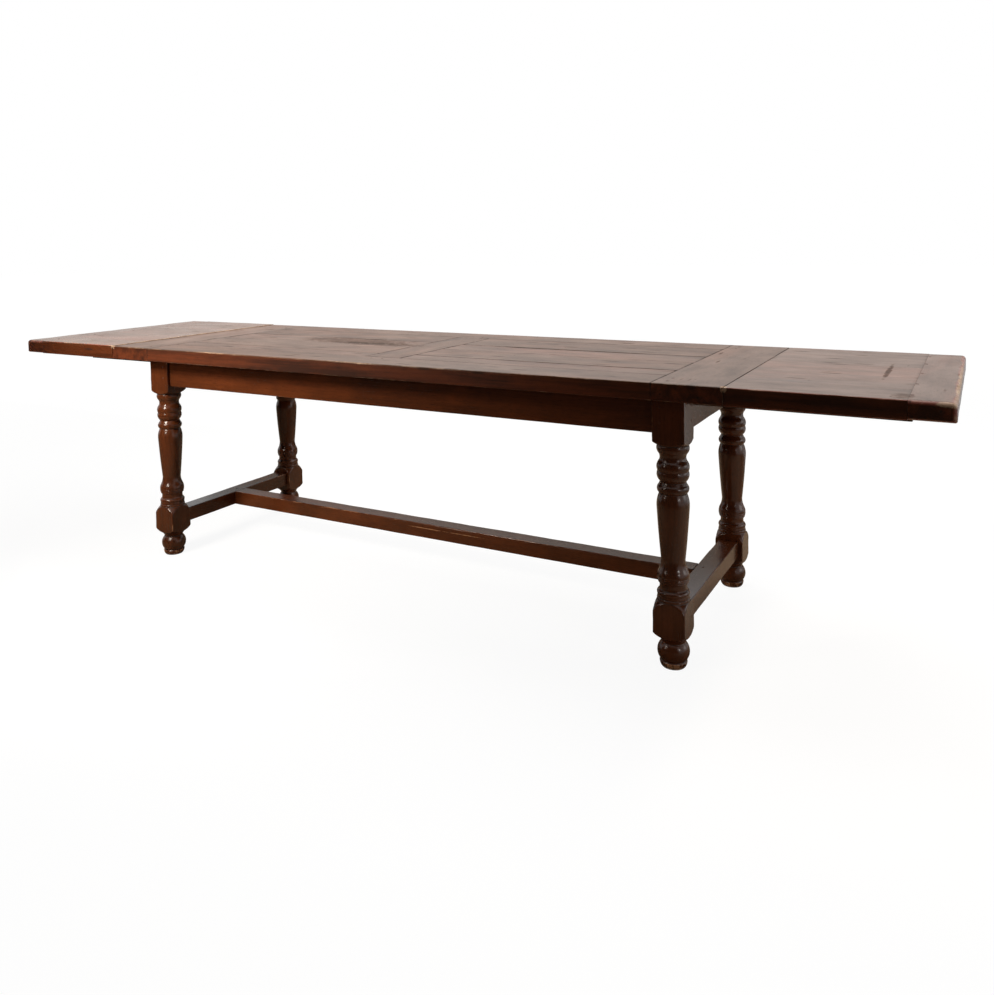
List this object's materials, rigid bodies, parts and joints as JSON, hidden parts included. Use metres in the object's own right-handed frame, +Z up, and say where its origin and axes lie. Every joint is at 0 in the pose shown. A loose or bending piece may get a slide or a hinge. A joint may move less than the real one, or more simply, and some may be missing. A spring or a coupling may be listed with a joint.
{
  "type": "refectory table",
  "caption": "Long refectory table with a framed plank top, turned baluster legs, an H-shaped stretcher and a sliding leaf on arms at each end.",
  "frame": {"origin": "on the floor under the middle of the table", "axes": "+X along the table towards the right leaf, +Y from front to back, +Z up"},
  "size_m": [3.2, 0.855, 0.774],
  "materials": {
    "frame_wood": "dark stain, satin varnish",
    "top_wood": "worn dark stain, satin varnish",
    "leaf_wood": "worn dark stain, satin varnish",
    "inner_wood": "dry, lightly stained",
    "peg_wood": "dark stain, end grain",
    "screw_steel": "dull steel"
  },
  "bodies": {
    "table_frame": {"apron_pegs": "peg_wood", "button_screws": "screw_steel", "centre_stretcher": "frame_wood", "front_apron": "frame_wood", "front_left_leg": "frame_wood", "front_right_leg": "frame_wood", "left_arm_guide": "inner_wood", "left_end_apron": "frame_wood", "left_end_stretcher": "frame_wood", "rear_apron": "frame_wood", "rear_left_leg": "frame_wood", "rear_right_leg": "frame_wood", "right_arm_guide": "inner_wood", "right_end_apron": "frame_wood", "right_end_stretcher": "frame_wood", "stretcher_pegs": "peg_wood", "top_buttons": "inner_wood", "top_centre_rail": "top_wood", "top_front_rail": "top_wood", "top_left_end_rail": "top_wood", "top_left_plank_1": "top_wood", "top_left_plank_2": "top_wood", "top_left_plank_3": "top_wood", "top_left_plank_4": "top_wood", "top_pegs": "peg_wood", "top_rear_rail": "top_wood", "top_right_end_rail": "top_wood", "top_right_plank_1": "top_wood", "top_right_plank_2": "top_wood", "top_right_plank_3": "top_wood", "top_right_plank_4": "top_wood"},
    "left_leaf": {"left_leaf_arm_screws": "screw_steel", "left_leaf_board_1": "leaf_wood", "left_leaf_board_2": "leaf_wood", "left_leaf_board_3": "leaf_wood", "left_leaf_board_4": "leaf_wood", "left_leaf_board_5": "leaf_wood", "left_leaf_clamp": "leaf_wood", "left_leaf_clamp_pegs": "peg_wood", "left_leaf_front_arm": "inner_wood", "left_leaf_rear_arm": "inner_wood"},
    "right_leaf": {"right_leaf_arm_screws": "screw_steel", "right_leaf_board_1": "leaf_wood", "right_leaf_board_2": "leaf_wood", "right_leaf_board_3": "leaf_wood", "right_leaf_board_4": "leaf_wood", "right_leaf_board_5": "leaf_wood", "right_leaf_clamp": "leaf_wood", "right_leaf_clamp_pegs": "peg_wood", "right_leaf_front_arm": "inner_wood", "right_leaf_rear_arm": "inner_wood"}
  },
  "joints": [
    {"name": "left_leaf_slide", "type": "slide", "parent": "table_frame", "child": "left_leaf", "axis": [-1, 0, 0], "range_m": [0, 0.45]},
    {"name": "right_leaf_slide", "type": "slide", "parent": "table_frame", "child": "right_leaf", "axis": [1, 0, 0], "range_m": [0, 0.45]}
  ]
}
